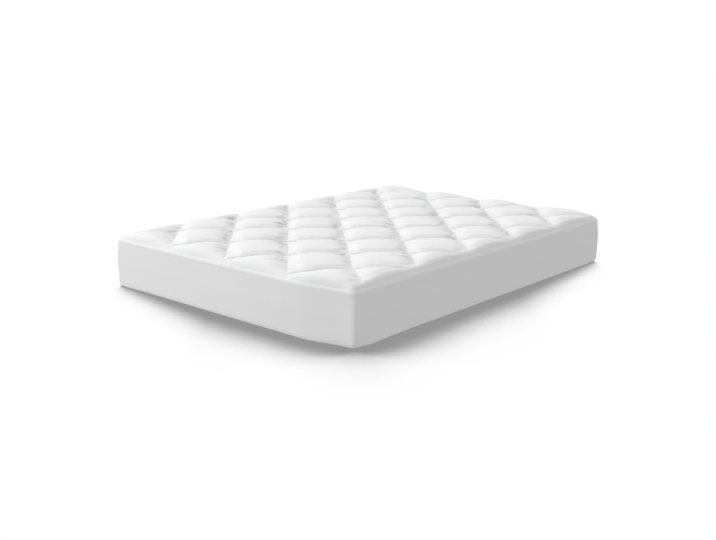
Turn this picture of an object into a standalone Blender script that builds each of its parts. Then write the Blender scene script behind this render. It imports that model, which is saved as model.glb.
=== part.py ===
"""A quilted mattress topper with a knit skirt, fitted over a plain mattress.

Units are metres. X runs across the bed, Y along it and Z up. The origin is on the floor, under
the middle of the mattress. The quilted panel is first made flat, as it is cut and sewn, and then
folded over the mattress. The skirt and the mattress are lofted from outlines with soft corners.
"""

import math

import bmesh
import bpy
from mathutils import Vector

# The mattress
MATTRESS_WIDTH = 1.515
MATTRESS_LENGTH = 2.023
MATTRESS_BOTTOM = 0.0023
MATTRESS_TOP = 0.2535
MATTRESS_CORNER = 0.045
TOP_ROLL = 0.040
TOP_ROLL_SEGMENTS = 4

# Room between pieces: where they touch, and where cloth passes an edge
TOUCH_GAP = 0.0003
EDGE_CLEARANCE = 0.0031

# The quilted panel
RIM_THICKNESS = 0.0095
CHANNEL_THICKNESS = 0.006
PUFF_HEIGHT = 0.023
PUFF_FULLNESS = 0.62
EDGE_FROM = 0.018
EDGE_TAPER = 0.062
SEAM_ANGLE = math.radians(72)
FOLD_RINGS = 4

# The diamonds: how far they repeat, and where two channels cross near the middle
REPEAT_X = 0.386
REPEAT_Y = 0.379
CROSSING_X = -0.015
CROSSING_Y = 0.187
CELLS_PER_REPEAT = 6

# The skirt
SKIRT_THICKNESS = 0.002
SKIRT_SEAM_INSET = 0.0022
SKIRT_BELLY = 0.0025
HEM_TURN_UNDER = 0.130
BOTTOM_ROLL = 0.025
BOTTOM_ROLL_SEGMENTS = 4
CORNER_REACH = 0.044
CORNER_GROWTH = 0.5

# How square a soft corner is: 2 is a round arc, and more is squarer
CLOTH_SQUARENESS = 3.0
MATTRESS_SQUARENESS = 2.0

# The four corners, anticlockwise: which way each lies, and the radius of its bottom edge
CORNERS = (
    (1, 1, 0.026),
    (-1, 1, 0.030),
    (-1, -1, 0.020),
    (1, -1, 0.040),
)

# The front corner, where the end is drawn back: by how much, and how far that reaches
DRAWN_BACK = 0.030
DRAWN_ALONG_END = 0.28
DRAWN_ALONG_SIDE = 0.36

# How an outline is divided, and how far along an end or a side a corner pulls on the hem
CORNER_SEGMENTS = 6
NEAR_CORNER = (0.03, 0.09, 0.15, 0.21, 0.28, 0.36)
SIDE_SEGMENTS = 4
PULL_ALONG_END = 0.22
PULL_ALONG_SIDE = 0.08

# Sizes that follow from those above
HALF_WIDTH = MATTRESS_WIDTH / 2
HALF_LENGTH = MATTRESS_LENGTH / 2
FOLD_X = HALF_WIDTH - TOP_ROLL
FOLD_Y = HALF_LENGTH - TOP_ROLL
FOLD_RADIUS = TOP_ROLL + RIM_THICKNESS
PANEL_X = FOLD_X + SEAM_ANGLE * FOLD_RADIUS
PANEL_Y = FOLD_Y + SEAM_ANGLE * FOLD_RADIUS
SKIRT_OUTSET = EDGE_CLEARANCE + SKIRT_THICKNESS
RIM_HEIGHT = MATTRESS_TOP - TOP_ROLL + (TOP_ROLL + EDGE_CLEARANCE) * math.cos(SEAM_ANGLE)
SKIRT_TOP = RIM_HEIGHT - TOUCH_GAP

# The skirt's wall from the seam down: how far it sits in from the mattress's plain side, or out
# where that is negative, and its height
SKIRT_WALL = (
    (SKIRT_SEAM_INSET, SKIRT_TOP),
    (0.0, SKIRT_TOP - 0.014),
    (-SKIRT_BELLY, 0.130),
    (-SKIRT_BELLY / 2, 0.070),
)

WHITE_QUILT = (0.90, 0.90, 0.91, 1.0)
WHITE_KNIT = (0.86, 0.86, 0.87, 1.0)
PALE_TICKING = (0.80, 0.80, 0.79, 1.0)


def smooth(share):
    """An even ease from 0 to 1."""
    share = min(max(share, 0.0), 1.0)
    return share * share * (3 - 2 * share)


def mix(first, second, share):
    return first + (second - first) * share


# Scene


def clear_scene():
    for obj in list(bpy.data.objects):
        bpy.data.objects.remove(obj, do_unlink=True)


def make_collection(name):
    collection = bpy.data.collections.new(name)
    bpy.context.scene.collection.children.link(collection)
    return collection


def cloth_material(name, colour, roughness, sheen):
    material = bpy.data.materials.new(name)
    material.use_nodes = True
    shader = material.node_tree.nodes["Principled BSDF"]
    shader.inputs["Base Color"].default_value = colour
    shader.inputs["Roughness"].default_value = roughness
    shader.inputs["Metallic"].default_value = 0.0
    shader.inputs["Sheen Weight"].default_value = sheen
    return material


def draw_back(point):
    """How far a point moves where the end is drawn back at the front corner."""
    across = smooth((HALF_WIDTH - point.x) / DRAWN_ALONG_END)
    along = smooth((point.y + FOLD_Y) / DRAWN_ALONG_SIDE)
    return DRAWN_BACK * (1 - across) * (1 - along)


def add_object(name, bm, material, collection, parent):
    for vert in bm.verts:
        vert.co.y += draw_back(vert.co)
    mesh = bpy.data.meshes.new(name)
    bm.to_mesh(mesh)
    bm.free()
    mesh.shade_smooth()
    mesh.materials.append(material)
    obj = bpy.data.objects.new(name, mesh)
    collection.objects.link(obj)
    obj.parent = parent
    return obj


# Outlines with soft corners, for the mattress and the skirt


def side_shares(length):
    """Where a straight side is divided, as shares of it, closer together near its corners."""
    near = [distance / length for distance in NEAR_CORNER]
    middle = [mix(near[-1], 1 - near[-1], step / SIDE_SEGMENTS) for step in range(1, SIDE_SEGMENTS)]
    return near + middle + [1 - share for share in reversed(near)]


def outline(half_x, half_y, corner, squareness):
    """The points round a rectangle with soft corners, anticlockwise, corner by corner."""
    arcs = []
    for quarter, (sign_x, sign_y, _) in enumerate(CORNERS):
        centre = Vector((sign_x * (half_x - corner), sign_y * (half_y - corner)))
        arc = []
        for step in range(CORNER_SEGMENTS + 1):
            angle = math.radians(90 * (quarter + step / CORNER_SEGMENTS))
            way = Vector((math.cos(angle), math.sin(angle)))
            length = (abs(way.x) ** squareness + abs(way.y) ** squareness) ** (1 / squareness)
            arc.append(centre + way * (corner / length))
        arcs.append(arc)
    points = []
    for quarter, arc in enumerate(arcs):
        following = arcs[(quarter + 1) % 4][0]
        side = MATTRESS_LENGTH if quarter % 2 else MATTRESS_WIDTH
        points += arc
        points += [arc[-1].lerp(following, share) for share in side_shares(side)]
    return points


def corner_pulls():
    """For each point of an outline, its nearest corner and its pull: 1 in it, 0 along the sides."""
    pulls = []
    sides = ((MATTRESS_WIDTH, PULL_ALONG_END), (MATTRESS_LENGTH, PULL_ALONG_SIDE)) * 2
    for corner, (side, reach) in enumerate(sides):
        pulls += [(corner, 1.0)] * (CORNER_SEGMENTS + 1)
        for share in side_shares(side):
            nearest = corner if share < 0.5 else (corner + 1) % len(CORNERS)
            pulls.append((nearest, 1 - smooth(min(share, 1 - share) * side / reach)))
    return pulls


def ring(outset, inset, height, corner, squareness):
    """One level outline, measured out from the mattress's sides and in from that."""
    grow = outset - inset
    points = outline(HALF_WIDTH + grow, HALF_LENGTH + grow, corner, squareness)
    return [point.to_3d() + Vector((0, 0, height)) for point in points]


def blended_rings(rings):
    """From the rings for a bottom edge's radius, those with each corner's own radius near it."""
    plain = rings(BOTTOM_ROLL)
    cornered = [rings(roll) for _, _, roll in CORNERS]
    for place, (corner, pull) in enumerate(corner_pulls()):
        for level, points in enumerate(plain):
            points[place] = points[place].lerp(cornered[corner][level][place], pull)
    return plain


def loft(rings):
    """The open surface through level rings, from the top one down, facing out."""
    bm = bmesh.new()
    rows = [[bm.verts.new(point) for point in points] for points in rings]
    for upper, lower in zip(rows, rows[1:]):
        for start in range(len(upper)):
            end = (start + 1) % len(upper)
            bm.faces.new((upper[start], lower[start], lower[end], upper[end]))
    return bm, rows


def bottom_roll(outset, radius, floor, corner, squareness):
    """Rings from the foot of a wall round to the face that it rests on."""
    rings = []
    for step in range(BOTTOM_ROLL_SEGMENTS + 1):
        angle = math.radians(90 * step / BOTTOM_ROLL_SEGMENTS)
        inset = radius * (1 - math.cos(angle))
        height = floor + radius * (1 - math.sin(angle))
        rings.append(ring(outset, inset, height, corner + CORNER_GROWTH * inset, squareness))
    return rings


# The pieces


def build_mattress(collection, parent):
    def rings(roll):
        levels = []
        for step in range(TOP_ROLL_SEGMENTS + 1):
            angle = math.radians(90 * step / TOP_ROLL_SEGMENTS)
            inset = TOP_ROLL * (1 - math.sin(angle))
            height = MATTRESS_TOP - TOP_ROLL * (1 - math.cos(angle))
            levels.append(ring(0, inset, height, MATTRESS_CORNER - inset, MATTRESS_SQUARENESS))
        roll += EDGE_CLEARANCE
        return levels + bottom_roll(0, roll, MATTRESS_BOTTOM, MATTRESS_CORNER, MATTRESS_SQUARENESS)

    bm, rows = loft(blended_rings(rings))
    bm.faces.new(rows[0])
    bm.faces.new(reversed(rows[-1]))
    material = cloth_material("mattress_ticking", PALE_TICKING, 0.85, 0.1)
    return add_object("mattress", bm, material, collection, parent)


def build_skirt(collection, parent):
    def rings(roll):
        levels = [
            ring(SKIRT_OUTSET, inset, height, CORNER_REACH - inset, CLOTH_SQUARENESS)
            for inset, height in SKIRT_WALL
        ]
        levels += bottom_roll(SKIRT_OUTSET, roll, 0, CORNER_REACH, CLOTH_SQUARENESS)
        for inset in (mix(roll, HEM_TURN_UNDER, 0.5), HEM_TURN_UNDER):
            corner = CORNER_REACH + CORNER_GROWTH * inset
            levels.append(ring(SKIRT_OUTSET, inset, 0, corner, CLOTH_SQUARENESS))
        return levels

    bm, _ = loft(blended_rings(rings))
    material = cloth_material("knit_skirt", WHITE_KNIT, 0.8, 0.25)
    skirt = add_object("skirt", bm, material, collection, parent)
    shell = skirt.modifiers.new("thickness", "SOLIDIFY")
    shell.thickness = SKIRT_THICKNESS
    shell.offset = -1
    shell.use_even_offset = True
    return skirt


def cut_lines(fold, panel, crossing, repeat):
    """Where the flat panel is divided one way: on the diamonds' grid, then round the fold."""
    cell = repeat / CELLS_PER_REPEAT
    first = math.ceil((-fold - crossing) / cell + 0.3)
    last = math.floor((fold - crossing) / cell - 0.3)
    grid = [crossing + cell * number for number in range(first, last + 1)]
    rolled = [mix(fold, panel, step / FOLD_RINGS) for step in range(FOLD_RINGS + 1)]
    return [-place for place in reversed(rolled)] + grid + rolled


def quilt_lift(x, y):
    """The panel's thickness at a point of the flat cloth."""
    across = (x - CROSSING_X) / REPEAT_X
    along = (y - CROSSING_Y) / REPEAT_Y
    ridge = abs(math.sin(math.pi * (across + along)) * math.sin(math.pi * (across - along)))
    to_edge = min(PANEL_X - abs(x), PANEL_Y - abs(y))
    inside = min(max((to_edge - EDGE_FROM) / EDGE_TAPER, 0.0), 1.0)
    return mix(RIM_THICKNESS, CHANNEL_THICKNESS + PUFF_HEIGHT * ridge**PUFF_FULLNESS, inside)


def fold_over(point):
    """Lays a point of the flat panel on the mattress; its z is its height off the mattress."""
    over_x = max(abs(point.x) - FOLD_X, 0.0)
    over_y = max(abs(point.y) - FOLD_Y, 0.0)
    over = max(over_x, over_y)
    if over == 0:
        return Vector((point.x, point.y, MATTRESS_TOP + point.z))
    length = (over_x**CLOTH_SQUARENESS + over_y**CLOTH_SQUARENESS) ** (1 / CLOTH_SQUARENESS)
    angle = over / FOLD_RADIUS
    reach = (TOP_ROLL + point.z) * math.sin(angle)
    x = min(abs(point.x), FOLD_X) + reach * over_x / length
    y = min(abs(point.y), FOLD_Y) + reach * over_y / length
    z = MATTRESS_TOP - TOP_ROLL + (TOP_ROLL + point.z) * math.cos(angle)
    return Vector((math.copysign(x, point.x), math.copysign(y, point.y), z))


def make_face_grid(bm):
    """The flat panel's upper face, with both diagonals in each cell so that channels are edges."""
    columns = cut_lines(FOLD_X, PANEL_X, CROSSING_X, REPEAT_X)
    rows = cut_lines(FOLD_Y, PANEL_Y, CROSSING_Y, REPEAT_Y)
    across, along = len(columns) - 1, len(rows) - 1
    bmesh.ops.create_grid(bm, x_segments=across, y_segments=along, size=0.5)
    for vert in bm.verts:
        column = round((vert.co.x + 0.5) * across)
        row = round((vert.co.y + 0.5) * along)
        vert.co = (columns[column], rows[row], 0)
    level = []
    for face in bm.faces:
        centre = face.calc_center_median()
        if abs(centre.x) < FOLD_X and abs(centre.y) < FOLD_Y:
            level.append(face)
    bmesh.ops.poke(bm, faces=level)
    for vert in bm.verts:
        vert.co.z = quilt_lift(vert.co.x, vert.co.y)


def draw_in(point, share, lift):
    """Moves a point of the panel's edge in, to keep a share of how far it is past the fold."""
    x = min(abs(point.x), mix(FOLD_X, abs(point.x), share))
    y = min(abs(point.y), mix(FOLD_Y, abs(point.y), share))
    return Vector((math.copysign(x, point.x), math.copysign(y, point.y), lift))


def add_backing(bm):
    """The rim at the seam, then the backing in rings round the fold. Its middle stays open."""
    edges = [edge for edge in bm.edges if edge.is_boundary]
    rings_out = FOLD_RINGS
    for rings_left in range(FOLD_RINGS, 0, -1):
        made = bmesh.ops.extrude_edge_only(bm, edges=edges)["geom"]
        edges = [item for item in made if isinstance(item, bmesh.types.BMEdge) and item.is_boundary]
        for vert in {vert for edge in edges for vert in edge.verts}:
            vert.co = draw_in(vert.co, rings_left / rings_out, EDGE_CLEARANCE)
        rings_out = rings_left
    return edges


def build_quilted_top(collection, parent):
    bm = bmesh.new()
    make_face_grid(bm)
    last_ring = add_backing(bm)
    for vert in bm.verts:
        vert.co = fold_over(vert.co)
    for vert in {vert for edge in last_ring for vert in edge.verts}:
        vert.co.z = MATTRESS_TOP + TOUCH_GAP
    bmesh.ops.contextual_create(bm, geom=last_ring)
    bmesh.ops.recalc_face_normals(bm, faces=bm.faces)
    material = cloth_material("quilted_microfibre", WHITE_QUILT, 0.75, 0.3)
    return add_object("quilted_top", bm, material, collection, parent)


def main():
    clear_scene()
    collection = make_collection("mattress_topper")
    frame = bpy.data.objects.new("topper_on_mattress", None)
    collection.objects.link(frame)
    build_mattress(collection, frame)
    build_skirt(collection, frame)
    build_quilted_top(collection, frame)


main()
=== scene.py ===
"""The looks of the quilted mattress topper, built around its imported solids.

Units are metres, in the frame of the solids: X across the bed, Y along it and Z up. The quilted
panel is made flat, puffed by a cloth simulation between its stitched channels, and then folded
over the mattress. The skirt and the mattress are lofted from outlines with soft corners.
"""

import math

import bmesh
import bpy
import numpy as np
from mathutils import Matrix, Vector, noise


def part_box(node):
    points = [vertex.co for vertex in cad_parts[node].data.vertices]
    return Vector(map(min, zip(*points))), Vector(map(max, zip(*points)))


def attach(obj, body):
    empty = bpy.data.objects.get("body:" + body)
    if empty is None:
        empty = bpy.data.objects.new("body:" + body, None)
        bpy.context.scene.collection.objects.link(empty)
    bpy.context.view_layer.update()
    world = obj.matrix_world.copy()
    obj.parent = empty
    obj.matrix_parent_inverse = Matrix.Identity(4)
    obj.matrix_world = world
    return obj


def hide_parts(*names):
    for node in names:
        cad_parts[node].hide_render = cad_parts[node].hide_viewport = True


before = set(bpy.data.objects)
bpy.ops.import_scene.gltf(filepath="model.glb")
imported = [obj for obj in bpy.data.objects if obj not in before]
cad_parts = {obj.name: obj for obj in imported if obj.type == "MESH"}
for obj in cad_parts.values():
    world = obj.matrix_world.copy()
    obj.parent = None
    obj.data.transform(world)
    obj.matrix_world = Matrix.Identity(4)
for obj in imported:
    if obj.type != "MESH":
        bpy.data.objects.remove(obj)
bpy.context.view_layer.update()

# Sizes taken from the frame
MATTRESS_LOW, MATTRESS_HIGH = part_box("mattress")
HALF_WIDTH = MATTRESS_HIGH.x
HALF_LENGTH = MATTRESS_HIGH.y
MATTRESS_TOP = MATTRESS_HIGH.z
MATTRESS_BOTTOM = MATTRESS_LOW.z
SKIRT_BULGE = 0.0025
SKIRT_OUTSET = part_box("skirt")[1].x - HALF_WIDTH - SKIRT_BULGE

# How the panel lies: flat on top, then round the mattress's edge as far as the seam
TOP_ROLL = 0.040
RIM_THICKNESS = 0.0095
EDGE_CLEARANCE = 0.0031
SEAM_ANGLE = math.radians(72)
FOLD_X = HALF_WIDTH - TOP_ROLL
FOLD_Y = HALF_LENGTH - TOP_ROLL
FOLD_RADIUS = TOP_ROLL + RIM_THICKNESS
PANEL_X = FOLD_X + SEAM_ANGLE * FOLD_RADIUS
PANEL_Y = FOLD_Y + SEAM_ANGLE * FOLD_RADIUS
CORNER_SQUARENESS = 3.0
TINY = 1e-9

# The diamonds' grid, and the puffs between the channels of its two ways
REPEAT_X = 0.386
REPEAT_Y = 0.379
CROSSING_X = -0.015
CROSSING_Y = 0.187
CELLS_PER_REPEAT = 30
OFF_GRID = -10**6
CHANNEL_THICKNESS = 0.006
PUFF_HEIGHT = 0.019
PUFF_FULLNESSES = (0.64, 0.52)
PUFF_SKEWS = (1.0, 0.84)
CHANNEL_CREASE = 0.8
CHANNEL_EDGE = 0.006

# Where the puffs rise from the panel's edge: at the sides, and at the ends
EDGE_THICKNESS = 0.0065
EDGE_FROMS = (0.022, 0.014)
EDGE_TAPERS = (0.072, 0.050)

# Near the two ends the skirt draws the last half diamonds towards the seam
END_PULL = 0.054
END_PULL_FROM = 0.74
END_PULL_OVER = 0.21
END_PULL_EASE = 1.5
END_SAMPLES = 801
END_SHIFT = 0.038
END_SHIFT_FADE = 0.12

# Puckers that run into the channels: the way of the channels, the side of them, and the puckers'
# spacing, depth and reach. The first two rows are the deep gathers on one side of each puff
PUCKERS = (
    (0, -1, 0.125, 0.0065, 0.30),
    (0, -1, 0.500, 0.0095, 0.17),
    (0, 1, 0.160, 0.0016, 0.20),
    (1, -1, 0.170, 0.0010, 0.16),
    (1, 1, 0.170, 0.0010, 0.16),
)
PUCKER_START = 0.035
PUCKER_SPREAD = 0.9
PUCKER_SHARPNESS = 1.3
PUCKER_EDGE_FROM = 0.2
PUCKER_EDGE_FADE = 0.12

# How the puckers wander and vary in strength: the noises' paces along and across the channels
WANDER = 1.2
WANDER_PACE = (2.3, 7.7, 1.5)
WANDER_SEED = 31.0
STRENGTH_MIDDLE = 0.75
STRENGTH_SPREAD = 1.2
STRENGTH_RANGE = (0.05, 1.5)
STRENGTH_PACE = (5.1, 3.3, 0.0)
STRENGTH_SEED = 47.0

# The lip outside the seam's stitches, which is fuller along the sides than along the ends: each
# line's distance in from the panel's edge, and its share of the rim's thickness at a side and at
# an end
LIP = (
    (0.0190, 0.70, 0.74),
    (0.0155, 0.92, 0.84),
    (0.0085, 1.00, 0.86),
    (0.0025, 0.94, 0.80),
    (0.0006, 0.70, 0.62),
    (0.0004, 0.42, 0.42),
)
LIP_WIDTH = LIP[0][0]
LIP_ROOM = 0.006
LIP_FADE = 0.010
LIP_BLEND = 0.10

# The panel's backing
BACKING_RINGS = 4
BACKING_GAP = 0.0008
BACKING_RIM = 0.9 * EDGE_CLEARANCE

# The front corner, which is drawn out to the side and back along the bed
DRAWN_BACK = (0.011, 0.033)
DRAWN_ALONG_END = 0.28
DRAWN_ALONG_SIDE = 0.36

# The skirt's sheet, and how far its wall stands in from the plain side at each height
SKIRT_THICKNESS = 0.002
SKIRT_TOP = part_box("skirt")[1].z
SKIRT_WALL = (
    (0.025, 0.0),
    (0.070, -SKIRT_BULGE / 2),
    (0.130, -SKIRT_BULGE),
    (SKIRT_TOP - 0.016, 0.0001),
    (SKIRT_TOP + 0.003, 0.0001),
    (SKIRT_TOP + 0.006, 0.0040),
)
SKIRT_WALL_ROWS = 26

# Where the skirt goes up behind the lip, and stands further in at the ends
SEAM_RISES = (0.0060, 0.0045, 0.0030, 0.0015)
END_SEAM_INSET = 0.0010
END_SEAM_FADE = 0.03
END_SEAM_EASE = 3

# The skirt's bottom roll, its hem under the mattress, and its corners' reach
HEM_TURN_UNDER = 0.130
HEM_ROWS = 8
BOTTOM_ROLL = 0.025
ROLL_ROWS = 8
CORNER_GROWTH = 0.5
CORNER_REACH = 0.044
LOW_CORNER_REACH = 0.028
LOW_CORNER_FROM = 0.06
MATTRESS_CORNER = 0.045
MATTRESS_SQUARENESS = 2

# The four corners, anticlockwise: which way each lies, and the radius of its bottom edge, which
# becomes the plain bottom roll within a distance along the ends and along the sides
CORNERS = (
    (1, 1, 0.026),
    (-1, 1, 0.030),
    (-1, -1, 0.020),
    (1, -1, 0.040),
)
PULL_ALONG_END = 0.22
PULL_ALONG_SIDE = 0.08
STATION_SPACING = 0.012
CORNER_STATIONS = 14

# The skirt's unevenness: puckers under the seam, slow swells of the wall, and gathers in the hem
SEAM_PUCKER_DEPTH = 0.0005
SEAM_PUCKER_LENGTH = 0.016
SEAM_PUCKER_STRETCH = (1, 1, 0.15)
SEAM_PUCKER_FADE = 0.022
SEAM_PUCKER_SEED = 9.0
SWELL_DEPTH = 0.0012
SWELL_LENGTH = 0.28
SWELL_FROM = 0.05
SWELL_SEED = 3.0
GATHER_DEPTH = 0.0044
GATHER_LENGTH = 0.05
GATHER_SEED = 5.0

# Puffing the panel: its cloth, and how much of the cloth's own movement is kept near the channels
# and the edge
PUFF_FRAMES = 24
PUFF_PRESSURE = 0.5
CLOTH_QUALITY = 5
CLOTH_MASS = 0.15
CLOTH_STRETCH_STIFFNESS = 15
CLOTH_SHEAR_STIFFNESS = 5
CLOTH_BENDING_STIFFNESS = 0.05
SPARE_CLOTH = 0.030
MOST_MOVED = 0.005
EDGE_CALM = 0.16
CHANNEL_CALM = 0.4
CHANNEL_CALM_REACH = 0.22

# The finishes' colour, roughness and sheen
QUILT_COLOUR = (0.85, 0.85, 0.855, 1)
QUILT_FINISH = (0.85, 0.25)
SKIRT_COLOUR = (0.85, 0.85, 0.855, 1)
SKIRT_FINISH = (0.9, 0.2)
TICKING_COLOUR = (0.78, 0.78, 0.77, 1)
TICKING_FINISH = (0.85, 0.0)

# Creases, slack and nap: the scale, detail and depth of each noise
QUILT_CREASES = (38.0, 4.0, 0.0016)
QUILT_NAP = (420.0, 2.0, 0.00035)
SKIRT_SLACK = (16.0, 2.0, 0.0006)
SKIRT_NAP = (380.0, 2.0, 0.00020)
TICKING_SLACK = (22.0, 2.0, 0.0008)

# Threads and knitted loops: their spacing and depth
QUILT_WEAVE = (0.0012, 0.00006)
SKIRT_KNIT = (0.0024, 0.00010)
TICKING_WEAVE = (0.0018, 0.00012)

# Patches of colour: their scale, darkest and lightest; and the darkest and lightest fibres and rows
NOISE_SPREAD = (0.3, 0.7)
QUILT_PATCHES = (5.0, 0.985, 1.015)
SKIRT_PATCHES = (3.5, 0.988, 1.012)
TICKING_PATCHES = (6.0, 0.98, 1.015)
FIBRES = (0.985, 1.01)
SKIRT_ROWS = (0.99, 1.005)
TICKING_ROWS = (0.97, 1.01)

# The stitches, and painted shade and light: how much the grooves, channels and deep puckers are
# painted darker, standing in for their shade, and the lip painted lighter, standing in for the
# light it catches. The channels' painted shade is set by their two ways
CHANNEL_SPACING = REPEAT_X * REPEAT_Y / math.hypot(REPEAT_X, REPEAT_Y)
STITCH_WIDTH = 0.0006
STITCH_GROOVE = 0.0030
STITCH_DEPTH = 0.0004
STITCH_LENGTH = 0.0040
STITCH_SHARE = 0.72
THREAD_RISE = 0.5
GROOVE_PAINTED_SHADE = 0.965
LIP_PAINTED_LIGHT = 1.06
CHANNEL_PAINTED_SHADES = (0.96, 0.86)
CHANNEL_SHADE_REACHES = (0.014, 0.030)
FOLD_DEPTHS = (0.0008, 0.0075)
FOLD_PAINTED_SHADE = 0.80

# The camera, at the photograph's place
CAMERA_PLACE = (3.082, -3.564, 1.206)
CAMERA_AZIMUTH = math.radians(41.6)
CAMERA_DOWN = math.radians(14.16)
CAMERA_LENS = 47.01
CAMERA_SENSOR = 36.0

# The floor: glowing white, with a painted shade where little of the sky within its reach is open
FLOOR_COLOUR = (1.0, 1.0, 1.0, 1)
FLOOR_PAINTED_SHADOW = (0.30, 0.30, 0.30, 1)
FLOOR_ROUGHNESS = 0.9
FLOOR_REACH = 30.0
SHADE_SAMPLES = 16
SHADE_REACH = 0.60
SHADE_FROM = 0.56
SHADE_TO = 0.90
SHADE_FALL = 1.25

# The painted shade is weaker towards the corners at the left and right, and deeper in the middle,
# by the distance from the middle this way
SHADE_WAY = (0.748, 0.664, 0.0)
SHADE_FADES = (0.70, 1.30)
SHADE_SHIFTS = (-0.03, 0.20)
MIDDLE_FADES = (0.0, 0.45)
MIDDLE_SHIFTS = (-0.06, 0.0)

# The sky's strength overhead, level and below, and as the camera sees it
SKY_ZENITH = 0.66
SKY_HORIZON = 0.60
SKY_BELOW = 0.50
SKY_BELOW_AT = -0.3
SKY_SEEN = 1.05

# The key light, far off and behind on the left: the way to it, how wide it is, and its strength
KEY_WAY = (-0.80, 0.14, 0.58)
KEY_WIDTH = math.radians(30)
KEY_STRENGTH = 1.75

# The fill light, near on the left: its place, what it points at, its size and its power
FILL_PLACE = (-2.0, -5.0, 1.0)
FILL_TOWARDS = (0.0, -1.0, 0.13)
FILL_SIZE = 1.8
FILL_POWER = 57.0


def smooth(share):
    """An even ease from 0 to 1, on arrays too."""
    share = np.clip(share, 0.0, 1.0)
    return share * share * (3 - 2 * share)


def mix(first, second, share):
    """The value at a share of the way from the first to the second."""
    return first + (second - first) * share


# Laying cloth on the mattress


def draw_back(points):
    """Moves points where the front corner is drawn out and back."""
    across = smooth((HALF_WIDTH - points[:, 0]) / DRAWN_ALONG_END)
    along = smooth((points[:, 1] + FOLD_Y) / DRAWN_ALONG_SIDE)
    moved = points.copy()
    moved[:, :2] += np.outer((1 - across) * (1 - along), DRAWN_BACK)
    return moved


def fold_over(flat):
    """Lays points of the flat panel on the mattress; their z is their height off the mattress."""
    size = np.abs(flat[:, :2])
    over = np.maximum(size - (FOLD_X, FOLD_Y), 0.0)
    farthest = over.max(axis=1)
    length = (over**CORNER_SQUARENESS).sum(axis=1) ** (1 / CORNER_SQUARENESS)
    length = np.maximum(length, TINY)
    angle = farthest / FOLD_RADIUS
    arm = TOP_ROLL + flat[:, 2]
    laid = np.minimum(size, (FOLD_X, FOLD_Y)) + (arm * np.sin(angle) / length)[:, None] * over
    height = MATTRESS_TOP - TOP_ROLL + arm * np.cos(angle)
    return np.column_stack([np.copysign(laid, flat[:, :2]), height])


# The quilted panel, flat


def pulled_to_end(along):
    """Where a place along the panel ends up once the skirt has drawn the ends down."""
    share = np.maximum(np.abs(along) - END_PULL_FROM, 0.0) / END_PULL_OVER
    return along + np.copysign(END_PULL * share**END_PULL_EASE, along)


def end_shift(across, along):
    """How far the near end's last half diamonds are drawn towards the front corner."""
    share = np.clip((-along - END_PULL_FROM) / END_PULL_OVER, 0.0, 1.0)
    return END_SHIFT * share**END_PULL_EASE * smooth((PANEL_X - np.abs(across)) / END_SHIFT_FADE)


def diamond_places(flat):
    """Each point's place among the channels: whole numbers across them in their two ways."""
    across = (flat[:, 0] - end_shift(flat[:, 0], flat[:, 1]) - CROSSING_X) / REPEAT_X
    tried = np.linspace(-PANEL_Y, PANEL_Y, END_SAMPLES)
    along = (np.interp(flat[:, 1], pulled_to_end(tried), tried) - CROSSING_Y) / REPEAT_Y
    return np.column_stack([across + along, across - along])


def from_edges(flat):
    """How far each point of the flat panel is in from the nearest side and the nearest end."""
    return np.array((PANEL_X, PANEL_Y)) - np.abs(flat[:, :2])


def grid_lines(crossing, repeat, panel, placed):
    """The places of the panel's lines one way, and their numbers in the diamonds' grid.

    The grid fills the panel between its two lips, whose own lines have no number in it.
    """
    cell = repeat / CELLS_PER_REPEAT
    reach = int(panel / cell) + 2
    numbers = np.arange(-reach, reach + 1) - round(crossing / cell)
    places = placed(crossing + cell * numbers)
    inside = np.abs(places) < panel - LIP_WIDTH - LIP_ROOM
    lip = panel - np.array([distance for distance, _, _ in LIP])
    none = np.full(len(LIP), OFF_GRID)
    places = np.concatenate([-lip[::-1], places[inside], lip])
    return places, np.concatenate([none, numbers[inside], none])


def lip_ring(number, count):
    """Which line of the lip each of the panel's lines is, counted outwards, or 0 inside the lip."""
    outside = np.maximum(len(LIP) - number, number - (count - 1 - len(LIP)))
    return np.clip(outside, 0, len(LIP))


def panel_heights(x, y, ring):
    """How thick the panel is at each point: in the puffs, at its edge and in the lip."""
    flat = np.column_stack([x, y])
    places = diamond_places(flat)
    share = (places - np.floor(places)) ** PUFF_SKEWS
    dome = (4 * share * (1 - share)) ** PUFF_FULLNESSES
    puffed = CHANNEL_THICKNESS + PUFF_HEIGHT * dome[:, 0] * dome[:, 1]

    to_edges = from_edges(flat)
    inside = np.clip(((to_edges - EDGE_FROMS) / EDGE_TAPERS).min(axis=1), 0.0, 1.0)
    at_end = smooth(0.5 + (PANEL_X - np.abs(x) - PANEL_Y + np.abs(y)) / LIP_BLEND)
    side_shares, end_shares = np.array(LIP)[:, 1:].T
    seam = RIM_THICKNESS * mix(side_shares[0], end_shares[0], at_end)
    edge = mix(seam, EDGE_THICKNESS, smooth((to_edges.min(axis=1) - LIP_WIDTH) / LIP_FADE))
    lip = RIM_THICKNESS * mix(side_shares[ring - 1], end_shares[ring - 1], at_end)
    return np.where(ring > 0, lip, mix(edge, puffed, inside))


def panel_faces(wide, p, q):
    """The panel's faces: squares, divided along the channel where one crosses them."""
    on_grid = (p != OFF_GRID) & (q != OFF_GRID)
    faces = []
    for a in range(len(p) - wide):
        if (a + 1) % wide == 0:
            continue
        b, c, d = a + 1, a + wide + 1, a + wide
        if not (on_grid[a] and on_grid[c]):
            faces.append((a, b, c, d))
        elif (p[a] - q[a]) % CELLS_PER_REPEAT == 0:
            faces += [(a, b, c), (a, c, d)]
        elif (p[b] + q[b]) % CELLS_PER_REPEAT == 0:
            faces += [(a, b, d), (b, c, d)]
        else:
            faces.append((a, b, c, d))
    return faces


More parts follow.
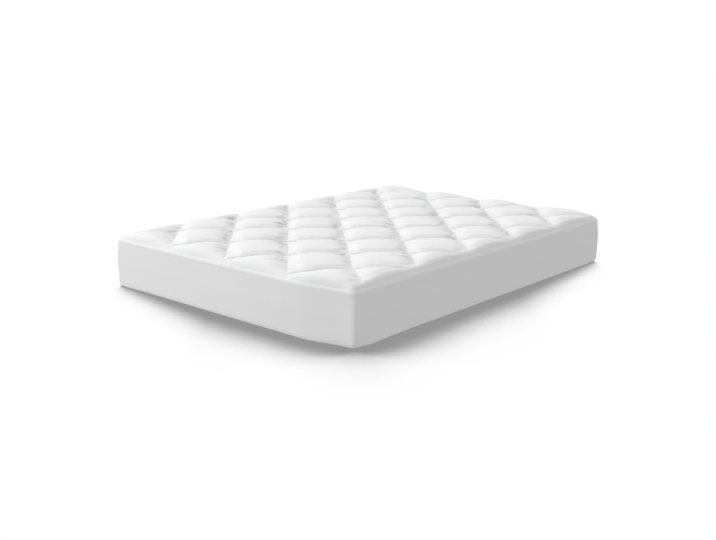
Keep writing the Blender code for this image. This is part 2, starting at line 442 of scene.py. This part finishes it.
def build_panel():
    """The flat panel: points, faces, which points are in a channel, and which are held still."""
    columns, column_numbers = grid_lines(CROSSING_X, REPEAT_X, PANEL_X, lambda place: place)
    rows, row_numbers = grid_lines(CROSSING_Y, REPEAT_Y, PANEL_Y, pulled_to_end)
    wide, long = len(columns), len(rows)
    x, y = [grid.ravel() for grid in np.meshgrid(columns, rows)]
    x = x + end_shift(x, y)
    p, q = [grid.ravel() for grid in np.meshgrid(column_numbers, row_numbers)]
    on_grid = (p != OFF_GRID) & (q != OFF_GRID)
    in_channel = ((p - q) % CELLS_PER_REPEAT == 0) | ((p + q) % CELLS_PER_REPEAT == 0)
    stitched = on_grid & in_channel
    rings = [lip_ring(np.arange(count), count) for count in (wide, long)]
    ring = np.maximum(*[grid.ravel() for grid in np.meshgrid(*rings)])
    points = np.column_stack([x, y, panel_heights(x, y, ring)])
    return points, panel_faces(wide, p, q), stitched, stitched | (ring > 0)


def puff_up(points, faces, held):
    """Puffs the flat panel between its channels, as a cloth simulation with spare cloth."""
    mesh = bpy.data.meshes.new("puffing")
    mesh.from_pydata(points, [], faces)
    obj = bpy.data.objects.new("puffing", mesh)
    scene = bpy.context.scene
    scene.collection.objects.link(obj)
    group = obj.vertex_groups.new(name="held")
    group.add([int(index) for index in np.flatnonzero(held)], 1.0, "REPLACE")
    cloth = obj.modifiers.new("cloth", "CLOTH")
    settings = cloth.settings
    settings.vertex_group_mass = "held"
    settings.quality = CLOTH_QUALITY
    settings.mass = CLOTH_MASS
    settings.tension_stiffness = CLOTH_STRETCH_STIFFNESS
    settings.compression_stiffness = CLOTH_STRETCH_STIFFNESS
    settings.shear_stiffness = CLOTH_SHEAR_STIFFNESS
    settings.bending_stiffness = CLOTH_BENDING_STIFFNESS
    settings.shrink_min = -SPARE_CLOTH
    settings.shrink_max = -SPARE_CLOTH
    settings.use_pressure = True
    settings.uniform_pressure_force = PUFF_PRESSURE
    settings.effector_weights.gravity = 0
    cloth.collision_settings.use_collision = False
    for number in range(1, PUFF_FRAMES + 1):
        scene.frame_set(number)
    graph = bpy.context.evaluated_depsgraph_get()
    puffed = obj.evaluated_get(graph).to_mesh()
    found = np.empty(len(points) * 3, np.float32)
    puffed.vertices.foreach_get("co", found)
    found = found.reshape(-1, 3).astype(float)
    scene.frame_set(1)
    bpy.data.objects.remove(obj, do_unlink=True)

    # Less of the movement is kept where it is large, and near the channels and the edge
    moved = found - points
    share = np.minimum(1.0, MOST_MOVED / np.maximum(np.linalg.norm(moved, axis=1), TINY))
    places = diamond_places(points)
    to_channel = np.abs(places - np.round(places)).min(axis=1)
    calm = mix(CHANNEL_CALM, 1.0, smooth(to_channel / CHANNEL_CALM_REACH))
    share *= calm * smooth(from_edges(points).min(axis=1) / EDGE_CALM)
    return points + moved * share[:, None]


def uneven(points, depth, length, seed):
    """A slow, soft noise at each point, with that depth and length."""
    start = Vector((seed, 0, 0))
    return np.array([depth * noise.noise(Vector(point) / length + start) for point in points])


def pucker_depths(flat):
    """How deep the puckers beside the channels are at each point."""
    places = diamond_places(flat)
    inside = smooth(from_edges(flat).min(axis=1) / PUCKER_EDGE_FADE - PUCKER_EDGE_FROM)
    total = np.zeros(len(flat))
    for row, (way, side, spacing, depth, reach) in enumerate(PUCKERS):
        line = np.round(places[:, way])
        off = side * (places[:, way] - line)
        along = places[:, 1 - way]
        middle = np.floor(along) + 0.5
        spread = middle + (along - middle) * (1 + PUCKER_SPREAD * np.maximum(off, 0))
        here = np.column_stack([along, line, off])
        wander = WANDER * uneven(here * WANDER_PACE, 1.0, 1.0, WANDER_SEED + row)
        fold = 1 - np.abs(np.sin(np.pi * (spread / spacing + wander)))
        strong = uneven(here * STRENGTH_PACE, STRENGTH_SPREAD, 1.0, STRENGTH_SEED + row)
        strong = np.clip(STRENGTH_MIDDLE + strong, *STRENGTH_RANGE)
        fade = np.exp(-((off / (reach * strong)) ** 2)) * smooth(off / PUCKER_START)
        total += depth * strong * fold**PUCKER_SHARPNESS * fade
    return total * inside


def finer_panel(points, faces, stitched):
    """The flat panel with each face divided in four, as an open bmesh with sharp channels."""
    mesh = bpy.data.meshes.new("panel")
    mesh.from_pydata(points, [], faces)
    ends = np.empty(len(mesh.edges) * 2, np.int32)
    mesh.edges.foreach_get("vertices", ends)
    in_channel = stitched[ends.reshape(-1, 2)].all(axis=1)
    sharp = mesh.attributes.new("crease_edge", "FLOAT", "EDGE")
    sharp.data.foreach_set("value", in_channel * CHANNEL_CREASE)
    obj = bpy.data.objects.new("panel", mesh)
    bpy.context.scene.collection.objects.link(obj)
    finer = obj.modifiers.new("finer", "SUBSURF")
    finer.levels = 1
    finer.boundary_smooth = "PRESERVE_CORNERS"
    graph = bpy.context.evaluated_depsgraph_get()
    bm = bmesh.new()
    bm.from_mesh(obj.evaluated_get(graph).to_mesh())
    bpy.data.objects.remove(obj, do_unlink=True)
    return bm


def drawn_in(point, share, lift):
    """A point of the panel's edge, moved in to keep a share of how far it is past the fold."""
    x = min(abs(point.x), mix(FOLD_X, abs(point.x), share))
    y = min(abs(point.y), mix(FOLD_Y, abs(point.y), share))
    return Vector((math.copysign(x, point.x), math.copysign(y, point.y), lift))


def add_backing(bm):
    """Closes the flat panel underneath: rings round the fold, and a fan across the middle."""
    edges = [edge for edge in bm.edges if edge.is_boundary]
    before = 1.0
    for number in range(BACKING_RINGS):
        share = 1 - number / (BACKING_RINGS - 1)
        lift = BACKING_RIM if share else BACKING_GAP
        made = bmesh.ops.extrude_edge_only(bm, edges=edges)["geom"]
        made = [item for item in made if isinstance(item, bmesh.types.BMEdge)]
        edges = [edge for edge in made if edge.is_boundary]
        for vert in {vert for edge in edges for vert in edge.verts}:
            vert.co = drawn_in(vert.co, share / before, lift)
        before = max(share, TINY)
    middle = bm.verts.new((0, 0, BACKING_GAP))
    for edge in edges:
        bm.faces.new((*edge.verts, middle))
    bmesh.ops.recalc_face_normals(bm, faces=bm.faces)


def crease_channels(bm, places):
    """Gives the edges along the channels a sharp fold."""
    bm.verts.index_update()
    line = np.round(places)
    near = np.abs(places - line) < CHANNEL_EDGE
    for edge in bm.edges:
        first, second = [vert.index for vert in edge.verts]
        both = near[first] & near[second] & (line[first] == line[second])
        edge.smooth = not both.any()


def build_quilted_top():
    """The quilted panel: made flat, puffed, puckered, backed, and folded over the mattress."""
    points, faces, stitched, held = build_panel()
    points = puff_up(points, faces, held)
    bm = finer_panel(points, faces, stitched)
    flat = np.array([vert.co for vert in bm.verts])
    depths = pucker_depths(flat)
    for vert, depth in zip(bm.verts, depths):
        vert.co.z -= depth
    add_backing(bm)
    flat = np.array([vert.co for vert in bm.verts])
    depths = np.pad(depths, (0, len(flat) - len(depths)))
    for vert, place in zip(bm.verts, draw_back(fold_over(flat))):
        vert.co = place
    places = diamond_places(flat)
    crease_channels(bm, places)

    # For the material: places in the diamonds' grid and on the flat panel, and the puckers' depth
    top = add_piece("quilted_panel", bm, "quilted_top")
    add_places(top.data, "lattice", np.column_stack([places, from_edges(flat).min(axis=1)]))
    add_places(top.data, "flat", np.column_stack([flat[:, :2], depths]))
    return top


# Outlines with soft corners, for the skirt and the mattress


def stations(squareness):
    """Round the mattress: each station's corner signs, its way round a corner, and its roll.

    Along a straight side the signs change evenly from those of one corner to those of the next.
    """
    signs, ways, rolls = [], [], []
    sides = ((2 * HALF_WIDTH, PULL_ALONG_END), (2 * HALF_LENGTH, PULL_ALONG_SIDE)) * 2
    for corner, (sign_x, sign_y, roll) in enumerate(CORNERS):
        sign = np.array((sign_x, sign_y), float)
        for step in range(CORNER_STATIONS + 1):
            angle = math.radians(90 * (corner + step / CORNER_STATIONS))
            way = np.array((math.cos(angle), math.sin(angle)))
            way /= (np.abs(way) ** squareness).sum() ** (1 / squareness)
            signs.append(sign)
            ways.append(way)
            rolls.append(roll)
        side, reach = sides[corner]
        after = CORNERS[(corner + 1) % 4]
        next_sign = np.array(after[:2], float)
        count = round(side / STATION_SPACING)
        for step in range(1, count):
            share = step / count
            signs.append(mix(sign, next_sign, share))
            ways.append(way)
            near_roll = roll if share < 0.5 else after[2]
            pull = 1 - smooth(min(share, 1 - share) * side / reach)
            rolls.append(mix(BOTTOM_ROLL, near_roll, pull))
    return np.array(signs), np.array(ways), np.array(rolls)


def around(signs, ways, grow, reach, height):
    """The points of one ring: an outline grown from the mattress's, with corners of that reach."""
    grow, reach, height = [np.broadcast_to(value, len(signs)) for value in (grow, reach, height)]
    half = np.array((HALF_WIDTH, HALF_LENGTH))
    flat = signs * (half + grow[:, None] - reach[:, None]) + ways * reach[:, None]
    return np.column_stack([flat, height])


def loft(rings, closed):
    """A bmesh through rings of points, from the top one down, with fans as ends if it is closed."""
    bm = bmesh.new()
    rows = [[bm.verts.new(point) for point in points] for points in rings]
    for upper, lower in zip(rows, rows[1:]):
        for start in range(len(upper)):
            end = (start + 1) % len(upper)
            bm.faces.new((upper[start], lower[start], lower[end], upper[end]))
    if closed:
        for row in (rows[0], rows[-1]):
            middle = bm.verts.new((0, 0, row[0].co.z))
            for start in range(len(row)):
                bm.faces.new((row[start], row[(start + 1) % len(row)], middle))
        bmesh.ops.recalc_face_normals(bm, faces=bm.faces)
    return bm


def add_piece(name, bm, node):
    """Makes a bmesh a piece that stands for that node."""
    for face in bm.faces:
        face.smooth = True
    mesh = bpy.data.meshes.new(name)
    bm.to_mesh(mesh)
    bm.free()
    piece = bpy.data.objects.new(name, mesh)
    bpy.context.scene.collection.objects.link(piece)
    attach(piece, "root")
    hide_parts(node)
    return piece


def add_places(mesh, name, places):
    """Keeps a place for each point of a mesh, for its material."""
    layer = mesh.attributes.new(name, "FLOAT_VECTOR", "POINT")
    layer.data.foreach_set("vector", places.astype(np.float32).ravel())


# The skirt and the mattress


def skirt_wall_rings(signs, ways, rolls):
    """The skirt's wall: from behind the lip down to its bottom roll."""
    rings = []
    heights = [np.full(len(rolls), SKIRT_TOP + rise) for rise in SEAM_RISES]
    heights += [mix(SKIRT_TOP, rolls, row / SKIRT_WALL_ROWS) for row in range(SKIRT_WALL_ROWS)]
    towards_end = np.abs(ways[:, 1]) ** END_SEAM_EASE
    for height in heights:
        below = SKIRT_TOP - height
        inset = np.interp(height, *zip(*SKIRT_WALL))
        inset += END_SEAM_INSET * towards_end * (1 - smooth(below / END_SEAM_FADE))
        reach = mix(CORNER_REACH, LOW_CORNER_REACH, smooth(below / LOW_CORNER_FROM)) - inset
        points = around(signs, ways, SKIRT_OUTSET - inset, reach, height)
        swell = uneven(points, SWELL_DEPTH, SWELL_LENGTH, SWELL_SEED) * smooth(below / SWELL_FROM)
        points = points * SEAM_PUCKER_STRETCH
        pucker = uneven(points, SEAM_PUCKER_DEPTH, SEAM_PUCKER_LENGTH, SEAM_PUCKER_SEED)
        pucker *= 1 - smooth(below / SEAM_PUCKER_FADE)
        rings.append(around(signs, ways, SKIRT_OUTSET - inset + swell + pucker, reach, height))
    return rings


def skirt_rings():
    """The rings of the skirt's outer face, from the seam down and under the mattress."""
    signs, ways, rolls = stations(CORNER_SQUARENESS)
    rings = skirt_wall_rings(signs, ways, rolls)
    for row in range(ROLL_ROWS + 1):
        angle = math.radians(90 * row / ROLL_ROWS)
        inset = rolls * (1 - math.cos(angle))
        height = rolls * (1 - math.sin(angle))
        reach = LOW_CORNER_REACH + CORNER_GROWTH * inset
        points = around(signs, ways, SKIRT_OUTSET - inset, reach, height)
        swell = uneven(points, SWELL_DEPTH, SWELL_LENGTH, SWELL_SEED) * math.cos(angle)
        rings.append(around(signs, ways, SKIRT_OUTSET - inset + swell, reach, height))
    for row in range(1, HEM_ROWS + 1):
        share = row / HEM_ROWS
        inset = mix(rolls, HEM_TURN_UNDER, share)
        reach = LOW_CORNER_REACH + CORNER_GROWTH * inset
        points = around(signs, ways, SKIRT_OUTSET - inset, reach, 0)
        lift = np.abs(uneven(points, GATHER_DEPTH, GATHER_LENGTH, GATHER_SEED)) * smooth(share)
        rings.append(around(signs, ways, SKIRT_OUTSET - inset, reach, lift))
    return [draw_back(ring) for ring in rings]


def build_skirt():
    """The knit skirt: one sheet, given its thickness inwards."""
    skirt = add_piece("knit_skirt", loft(skirt_rings(), False), "skirt")
    shell = skirt.modifiers.new("thickness", "SOLIDIFY")
    shell.thickness = SKIRT_THICKNESS
    shell.offset = -1
    return skirt


def build_mattress():
    """The plain mattress: a block with rounded edges, its bottom edge inside the skirt's roll."""
    signs, ways, rolls = stations(MATTRESS_SQUARENESS)
    rolls = rolls + EDGE_CLEARANCE
    rings = []
    for row in range(ROLL_ROWS + 1):
        angle = math.radians(90 * row / ROLL_ROWS)
        inset = TOP_ROLL * (1 - math.sin(angle))
        height = MATTRESS_TOP - TOP_ROLL * (1 - math.cos(angle))
        rings.append(around(signs, ways, -inset, MATTRESS_CORNER - inset, height))
    for row in range(ROLL_ROWS + 1):
        angle = math.radians(90 * row / ROLL_ROWS)
        inset = rolls * (1 - math.cos(angle))
        height = MATTRESS_BOTTOM + rolls * (1 - math.sin(angle))
        rings.append(around(signs, ways, -inset, MATTRESS_CORNER + CORNER_GROWTH * inset, height))
    bm = loft([draw_back(ring) for ring in rings], True)
    mattress = add_piece("plain_mattress", bm, "mattress")
    return mattress


# Materials


def add_node(tree, kind, inputs=None, **settings):
    """A shader node with its settings, and its inputs, which are values or other nodes' outputs."""
    node = tree.nodes.new("ShaderNode" + kind)
    for name, value in settings.items():
        setattr(node, name, value)
    for name, value in (inputs or {}).items():
        if isinstance(value, bpy.types.NodeSocket):
            tree.links.new(value, node.inputs[name])
        else:
            node.inputs[name].default_value = value
    return node


def map_range(tree, value, before, after, way="LINEAR"):
    """A value taken from one range to another, and held within it."""
    inputs = {"Value": value}
    inputs.update(zip(("From Min", "From Max"), before))
    inputs.update(zip(("To Min", "To Max"), after))
    return add_node(tree, "MapRange", inputs, interpolation_type=way).outputs["Result"]


def math_node(tree, operation, *values):
    """What comes of an operation on values or other nodes' outputs."""
    return add_node(tree, "Math", dict(enumerate(values)), operation=operation).outputs[0]


def noise_node(tree, place, scale, detail=3.0):
    """A soft noise from 0 to 1, about one half."""
    inputs = {"Vector": place, "Scale": scale, "Detail": detail}
    return add_node(tree, "TexNoise", inputs).outputs["Fac"]


def bumped(tree, height, depth, before=None):
    """A normal that follows a height from 0 to 1, which stands for that depth in metres."""
    inputs = {"Height": height, "Strength": 1.0, "Distance": depth}
    if before:
        inputs["Normal"] = before
    return add_node(tree, "Bump", inputs).outputs["Normal"]


def rough(tree, place, sizes, before=None):
    """A noise with that scale, detail and depth, and a normal that follows it."""
    scale, detail, depth = sizes
    height = noise_node(tree, place, scale, detail)
    return height, bumped(tree, height, depth, before)


def threads(tree, place, sizes, before):
    """Fine crossed threads in a place's first two directions, with that spacing and depth.

    Gives their height from 0 to 1, and a normal that follows it.
    """
    spacing, depth = sizes
    parts = add_node(tree, "SeparateXYZ", {"Vector": place})
    waves = []
    for axis in (0, 1):
        turn = math_node(tree, "MULTIPLY", parts.outputs[axis], 2 * math.pi / spacing)
        waves.append(math_node(tree, "SINE", turn))
    height = math_node(tree, "MULTIPLY_ADD", math_node(tree, "MULTIPLY", *waves), 0.5, 0.5)
    return height, bumped(tree, height, depth, before)


def patched(tree, place, sizes):
    """A factor that varies slowly in patches of that scale, from the darkest to the lightest."""
    scale, *lights = sizes
    return map_range(tree, noise_node(tree, place, scale), NOISE_SPREAD, lights)


def finish(tree, normal, colour, *factors):
    """Gives the shader a normal, and a colour made darker or lighter by factors about 1."""
    total = factors[0]
    for factor in factors[1:]:
        total = math_node(tree, "MULTIPLY", total, factor)
    mixed = add_node(tree, "VectorMath", {0: colour[:3], "Scale": total}, operation="SCALE")
    shader = tree.nodes["Principled BSDF"]
    tree.links.new(mixed.outputs["Vector"], shader.inputs["Base Color"])
    tree.links.new(normal, shader.inputs["Normal"])


def simple_material(name, colour, roughness, sheen=0.0):
    """A material with one plain shader."""
    material = bpy.data.materials.new(name)
    material.use_nodes = True
    shader = material.node_tree.nodes["Principled BSDF"]
    shader.inputs["Base Color"].default_value = colour
    shader.inputs["Roughness"].default_value = roughness
    shader.inputs["Sheen Weight"].default_value = sheen
    return material


def stitch_row(tree, aside, along):
    """The groove and the thread of stitches along a line, each from 0 to 1.

    The place is given by a distance to the line and one along it, in metres.
    """
    groove = map_range(tree, aside, (STITCH_WIDTH, STITCH_GROOVE), (1.0, 0.0), "SMOOTHSTEP")
    thread = map_range(tree, aside, (STITCH_WIDTH * 0.5, STITCH_WIDTH), (1.0, 0.0), "SMOOTHSTEP")
    way = math_node(tree, "FRACT", math_node(tree, "DIVIDE", along, STITCH_LENGTH))
    dash = math_node(tree, "LESS_THAN", way, STITCH_SHARE)
    return groove, math_node(tree, "MULTIPLY", thread, dash)


def channel_stitches(tree, gaps, ways, to_edge):
    """The groove and the thread of the nearer channel of the two ways, as far out as the seam."""
    nearer = math_node(tree, "LESS_THAN", *gaps)
    aside = math_node(tree, "MULTIPLY", math_node(tree, "MINIMUM", *gaps), CHANNEL_SPACING)
    other = math_node(tree, "MULTIPLY", nearer, math_node(tree, "SUBTRACT", ways[1], ways[0]))
    along = math_node(tree, "MULTIPLY", math_node(tree, "ADD", other, ways[0]), CHANNEL_SPACING)
    in_seam = math_node(tree, "GREATER_THAN", to_edge, LIP_WIDTH)
    return [math_node(tree, "MULTIPLY", part, in_seam) for part in stitch_row(tree, aside, along)]


def seam_stitches(tree, flat, to_edge):
    """The groove and the thread of the seam between the panel and its lip."""
    to_seam = math_node(tree, "ABSOLUTE", math_node(tree, "SUBTRACT", to_edge, LIP_WIDTH))
    return stitch_row(tree, to_seam, math_node(tree, "ADD", flat[0], flat[1]))


def channel_shade(tree, gaps, to_edge):
    """A factor of painted shade that darkens the bottoms of the channels, on top of the panel only.
    """
    shades = []
    for gap, shade, reach in zip(gaps, CHANNEL_PAINTED_SHADES, CHANNEL_SHADE_REACHES):
        to_channel = math_node(tree, "MULTIPLY", gap, CHANNEL_SPACING)
        shades.append(map_range(tree, to_channel, (0.0, reach), (1.0 - shade, 0.0), "SMOOTHSTEP"))
    shade = math_node(tree, "MAXIMUM", *shades)
    on_top = map_range(tree, to_edge, (LIP_WIDTH, EDGE_TAPERS[0]), (0.0, 1.0), "SMOOTHSTEP")
    return math_node(tree, "SUBTRACT", 1.0, math_node(tree, "MULTIPLY", shade, on_top))


def quilt_material():
    """Brushed microfibre: threads, soft creases, and stitches along the channels and the seam."""
    material = simple_material("quilted_microfibre", QUILT_COLOUR, *QUILT_FINISH)
    tree = material.node_tree
    lattice = add_node(tree, "Attribute", attribute_name="lattice").outputs["Vector"]
    *ways, to_edge = add_node(tree, "SeparateXYZ", {"Vector": lattice}).outputs
    gaps = [math_node(tree, "PINGPONG", way, 0.5) for way in ways]
    place = add_node(tree, "Attribute", attribute_name="flat").outputs["Vector"]
    *flat, fold = add_node(tree, "SeparateXYZ", {"Vector": place}).outputs
    rows = zip(channel_stitches(tree, gaps, ways, to_edge), seam_stitches(tree, flat, to_edge))
    groove, thread = [math_node(tree, "MAXIMUM", *parts) for parts in rows]

    normal = rough(tree, place, QUILT_CREASES)[1]
    nap, normal = rough(tree, place, QUILT_NAP, normal)
    normal = threads(tree, place, QUILT_WEAVE, normal)[1]
    stitches = math_node(tree, "SUBTRACT", math_node(tree, "MULTIPLY", thread, THREAD_RISE), groove)
    normal = bumped(tree, stitches, STITCH_DEPTH, normal)

    patches = patched(tree, place, QUILT_PATCHES)
    fibres = map_range(tree, nap, NOISE_SPREAD, FIBRES)
    # Painted shade: the stitch grooves are darkened, standing in for the shade in their hollows
    painted_groove_shade = map_range(tree, groove, (0.0, 1.0), (1.0, GROOVE_PAINTED_SHADE))
    # Painted shade: darker where the puckers are deep, standing in for the shade in their folds
    folded = map_range(tree, fold, FOLD_DEPTHS, (1.0, FOLD_PAINTED_SHADE), "SMOOTHSTEP")
    # Painted shade: darker towards the bottoms of the channels, standing in for their shade
    channel_painted_shade = channel_shade(tree, gaps, to_edge)
    # Painted light: the lip is lighter, standing in for the light that it catches
    lip = map_range(tree, to_edge, (LIP_WIDTH, LIP_WIDTH + LIP_FADE), (LIP_PAINTED_LIGHT, 1.0))
    finish(tree, normal, QUILT_COLOUR, patches, fibres, painted_groove_shade, folded, channel_painted_shade, lip)
    return material


def knit_material():
    """A smooth stretch knit: fine upright ribs crossed by rows of loops, a little uneven."""
    material = simple_material("knit_skirt", SKIRT_COLOUR, *SKIRT_FINISH)
    tree = material.node_tree
    place = add_node(tree, "TexCoord").outputs["Object"]
    parts = add_node(tree, "SeparateXYZ", {"Vector": place}).outputs
    around_it = math_node(tree, "ADD", parts[0], parts[1])
    loops = add_node(tree, "CombineXYZ", {"X": around_it, "Y": parts[2]}).outputs["Vector"]
    normal = rough(tree, place, SKIRT_SLACK)[1]
    nap, normal = rough(tree, place, SKIRT_NAP, normal)
    knit, normal = threads(tree, loops, SKIRT_KNIT, normal)
    patches = patched(tree, place, SKIRT_PATCHES)
    fibres = map_range(tree, nap, NOISE_SPREAD, FIBRES)
    rows = map_range(tree, knit, (0.0, 1.0), SKIRT_ROWS)
    finish(tree, normal, SKIRT_COLOUR, patches, fibres, rows)
    return material


def ticking_material():
    """Plain woven mattress cover: close threads and a slight unevenness."""
    material = simple_material("mattress_ticking", TICKING_COLOUR, *TICKING_FINISH)
    tree = material.node_tree
    place = add_node(tree, "TexCoord").outputs["Object"]
    normal = rough(tree, place, TICKING_SLACK)[1]
    weave, normal = threads(tree, place, TICKING_WEAVE, normal)
    patches = patched(tree, place, TICKING_PATCHES)
    rows = map_range(tree, weave, (0.0, 1.0), TICKING_ROWS)
    finish(tree, normal, TICKING_COLOUR, patches, rows)
    return material


# The studio


def add_camera():
    """The camera, where the photograph was taken from."""
    data = bpy.data.cameras.new("camera")
    data.sensor_width = CAMERA_SENSOR
    data.lens = CAMERA_LENS
    camera = bpy.data.objects.new("camera", data)
    camera.rotation_euler = (math.radians(90) - CAMERA_DOWN, 0, CAMERA_AZIMUTH)
    camera.location = CAMERA_PLACE
    bpy.context.scene.collection.objects.link(camera)
    bpy.context.scene.camera = camera


def floor_material():
    """White all over and glowing, with a painted soft contact shadow where the object stands in the
    way of the sky.
    """
    material = simple_material("floor", FLOOR_COLOUR, FLOOR_ROUGHNESS)
    tree = material.node_tree
    sky = add_node(tree, "AmbientOcclusion", {"Distance": SHADE_REACH}, samples=SHADE_SAMPLES)
    place = add_node(tree, "NewGeometry").outputs["Position"]
    aside = add_node(tree, "VectorMath", {0: place, 1: SHADE_WAY}, operation="DOT_PRODUCT")
    aside = math_node(tree, "ABSOLUTE", aside.outputs["Value"])
    shift = map_range(tree, aside, SHADE_FADES, SHADE_SHIFTS)
    shift = math_node(tree, "ADD", shift, map_range(tree, aside, MIDDLE_FADES, MIDDLE_SHIFTS))
    open_sky = math_node(tree, "ADD", sky.outputs["AO"], shift)
    light = map_range(tree, open_sky, (SHADE_FROM, SHADE_TO), (0.0, 1.0), "SMOOTHSTEP")
    light = math_node(tree, "POWER", light, SHADE_FALL)
    colour = add_node(tree, "Mix", {"Factor": light}, data_type="RGBA")
    colour.inputs[6].default_value = FLOOR_PAINTED_SHADOW
    colour.inputs[7].default_value = FLOOR_COLOUR
    # The floor glows with this colour, so its contact shadow is painted, not cast by the lamps
    glow = add_node(tree, "Emission", {"Color": colour.outputs[2]})
    tree.links.new(glow.outputs["Emission"], tree.nodes["Material Output"].inputs["Surface"])
    return material


def add_floor():
    """A wide floor that the object rests on, which throws no light back at it."""
    mesh = bpy.data.meshes.new("floor")
    corners = [(-1, -1, 0), (1, -1, 0), (1, 1, 0), (-1, 1, 0)]
    mesh.from_pydata([Vector(corner) * FLOOR_REACH for corner in corners], [], [(0, 1, 2, 3)])
    floor = bpy.data.objects.new("floor", mesh)
    bpy.context.scene.collection.objects.link(floor)
    mesh.materials.append(floor_material())
    floor.visible_diffuse = False


def add_light(name, kind, strength, way):
    """A light that shines from that way."""
    data = bpy.data.lights.new(name, kind)
    data.energy = strength
    light = bpy.data.objects.new(name, data)
    light.rotation_euler = Vector(way).to_track_quat("Z", "Y").to_euler()
    bpy.context.scene.collection.objects.link(light)
    return light


def add_lights():
    """A soft key light far off, and a nearer fill that grows weaker along the near end."""
    key = add_light("key", "SUN", KEY_STRENGTH, KEY_WAY)
    key.data.angle = KEY_WIDTH
    fill = add_light("fill", "AREA", FILL_POWER, Vector(FILL_PLACE) - Vector(FILL_TOWARDS))
    fill.data.size = FILL_SIZE
    fill.location = FILL_PLACE
    fill.visible_camera = False


def add_world():
    """Soft light from all sides, more from above than from below; the camera sees it as white."""
    world = bpy.data.worlds.new("world")
    world.use_nodes = True
    tree = world.node_tree
    way = add_node(tree, "TexCoord").outputs["Generated"]
    height = add_node(tree, "SeparateXYZ", {"Vector": way}).outputs["Z"]
    above = map_range(tree, height, (0.0, 1.0), (SKY_HORIZON, SKY_ZENITH))
    below = map_range(tree, height, (SKY_BELOW_AT, 0.0), (SKY_BELOW - SKY_HORIZON, 0.0))
    strength = math_node(tree, "ADD", above, below)
    seen = add_node(tree, "LightPath").outputs["Is Camera Ray"]
    shown = add_node(tree, "Mix", {"Factor": seen, "A": strength, "B": SKY_SEEN}, data_type="FLOAT")
    tree.links.new(shown.outputs["Result"], tree.nodes["Background"].inputs["Strength"])
    tree.nodes["Background"].inputs["Color"].default_value = (1, 1, 1, 1)
    bpy.context.scene.world = world
    bpy.context.scene.view_settings.view_transform = "Standard"


def main():
    """The three pieces with their finishes, and the studio round them."""
    build_quilted_top().data.materials.append(quilt_material())
    build_skirt().data.materials.append(knit_material())
    build_mattress().data.materials.append(ticking_material())
    add_camera()
    add_floor()
    add_world()
    add_lights()


main()
